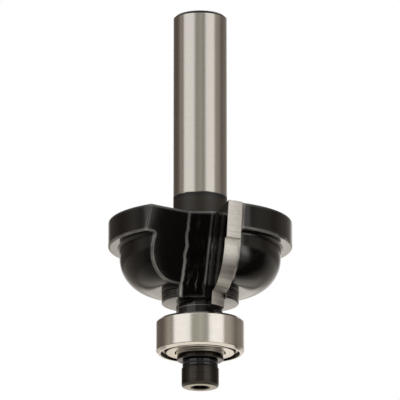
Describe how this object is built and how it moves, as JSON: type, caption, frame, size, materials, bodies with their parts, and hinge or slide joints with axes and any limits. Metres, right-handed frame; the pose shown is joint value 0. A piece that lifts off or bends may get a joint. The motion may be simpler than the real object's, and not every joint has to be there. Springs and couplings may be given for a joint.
{
  "type": "router bit",
  "caption": "Bearing-guided router bit: quarter-round carbide tips brazed to a painted steel head on a plain shank, with a ball bearing held by a cap screw.",
  "frame": {"origin": "middle of the cap screw's flat end, on the bit's axis", "axes": "+Z along the bit's axis, from the guide bearing towards the shank's end; the first tip faces -Y"},
  "size_m": [0.0273, 0.0274, 0.0569],
  "materials": {
    "painted_steel": "black gloss paint on the head, bright ground steel on the shank",
    "carbide": "ground tungsten carbide",
    "braze": "silver braze",
    "bearing_steel": "ground bearing steel",
    "black_oxide": "black oxide on steel",
    "nylon": "moulded nylon"
  },
  "bodies": {
    "cutter": {"cutter_body": "painted_steel", "carbide_tip_1": "carbide", "carbide_tip_2": "carbide", "braze_layer_1": "braze", "braze_layer_2": "braze", "bearing_inner_ring": "bearing_steel", "shim_washer": "bearing_steel", "flanged_bush": "black_oxide", "lock_washer": "black_oxide", "cap_screw": "black_oxide"},
    "guide": {"bearing_outer_ring": "bearing_steel", "bearing_shield_lower": "bearing_steel", "bearing_shield_upper": "bearing_steel"},
    "cage": {"bearing_cage": "nylon"},
    "ball_1": {"bearing_ball_1": "bearing_steel"},
    "ball_2": {"bearing_ball_2": "bearing_steel"},
    "ball_3": {"bearing_ball_3": "bearing_steel"},
    "ball_4": {"bearing_ball_4": "bearing_steel"},
    "ball_5": {"bearing_ball_5": "bearing_steel"},
    "ball_6": {"bearing_ball_6": "bearing_steel"},
    "ball_7": {"bearing_ball_7": "bearing_steel"}
  },
  "joints": [
    {"name": "guide_spin", "type": "hinge", "parent": "cutter", "child": "guide", "pos_m": [0, 0, 0.0076], "axis": [0, 0, 1], "continuous": true},
    {"name": "cage_orbit", "type": "hinge", "parent": "cutter", "child": "cage", "pos_m": [0, 0, 0.0076], "axis": [0, 0, 1], "continuous": true},
    {"name": "ball_1_spin", "type": "hinge", "parent": "cage", "child": "ball_1", "pos_m": [0, -0.00435, 0.0076], "axis": [0, 0, 1], "continuous": true},
    {"name": "ball_2_spin", "type": "hinge", "parent": "cage", "child": "ball_2", "pos_m": [0.0034, -0.00271, 0.0076], "axis": [0, 0, 1], "continuous": true},
    {"name": "ball_3_spin", "type": "hinge", "parent": "cage", "child": "ball_3", "pos_m": [0.00424, 0.00097, 0.0076], "axis": [0, 0, 1], "continuous": true},
    {"name": "ball_4_spin", "type": "hinge", "parent": "cage", "child": "ball_4", "pos_m": [0.00189, 0.00392, 0.0076], "axis": [0, 0, 1], "continuous": true},
    {"name": "ball_5_spin", "type": "hinge", "parent": "cage", "child": "ball_5", "pos_m": [-0.00189, 0.00392, 0.0076], "axis": [0, 0, 1], "continuous": true},
    {"name": "ball_6_spin", "type": "hinge", "parent": "cage", "child": "ball_6", "pos_m": [-0.00424, 0.00097, 0.0076], "axis": [0, 0, 1], "continuous": true},
    {"name": "ball_7_spin", "type": "hinge", "parent": "cage", "child": "ball_7", "pos_m": [-0.0034, -0.00271, 0.0076], "axis": [0, 0, 1], "continuous": true}
  ],
  "couplings": [
    {"joint": "cage_orbit", "follows": "guide_spin", "ratio": 0.61494},
    {"joint": "ball_1_spin", "follows": "guide_spin", "ratio": 2.0601},
    {"joint": "ball_2_spin", "follows": "guide_spin", "ratio": 2.0601},
    {"joint": "ball_3_spin", "follows": "guide_spin", "ratio": 2.0601},
    {"joint": "ball_4_spin", "follows": "guide_spin", "ratio": 2.0601},
    {"joint": "ball_5_spin", "follows": "guide_spin", "ratio": 2.0601},
    {"joint": "ball_6_spin", "follows": "guide_spin", "ratio": 2.0601},
    {"joint": "ball_7_spin", "follows": "guide_spin", "ratio": 2.0601}
  ]
}
